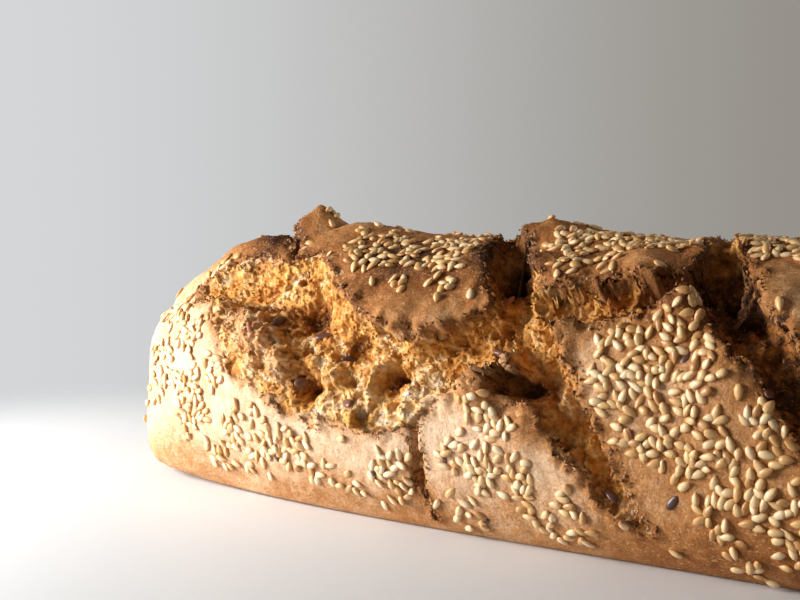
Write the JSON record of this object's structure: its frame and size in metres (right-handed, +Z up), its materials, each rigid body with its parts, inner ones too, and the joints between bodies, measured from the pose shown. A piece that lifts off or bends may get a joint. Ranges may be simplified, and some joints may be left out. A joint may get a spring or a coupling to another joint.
{
  "type": "rye bread loaf",
  "caption": "Long flat-soled loaf with a brown crust, slashed and torn open along one shoulder to show the rough crumb, with sesame and linseed baked on.",
  "frame": {"origin": "middle of the loaf's footprint, on the table under it", "axes": "+X along the loaf, with the end that the picture shows at -X; +Z up; the wide tear faces -Y"},
  "size_m": [0.3196, 0.0974, 0.0755],
  "materials": {
    "crust": "baked crust, dry and slightly rough, pale tan low down and brown on top",
    "crumb": "torn crumb, rough and open, with golden toasted tips",
    "sesame": "toasted sesame seeds, smooth and slightly glossy",
    "linseed": "linseed, smooth and glossy"
  },
  "bodies": {
    "root": {"rye_loaf": "crust"}
  },
  "joints": []
}
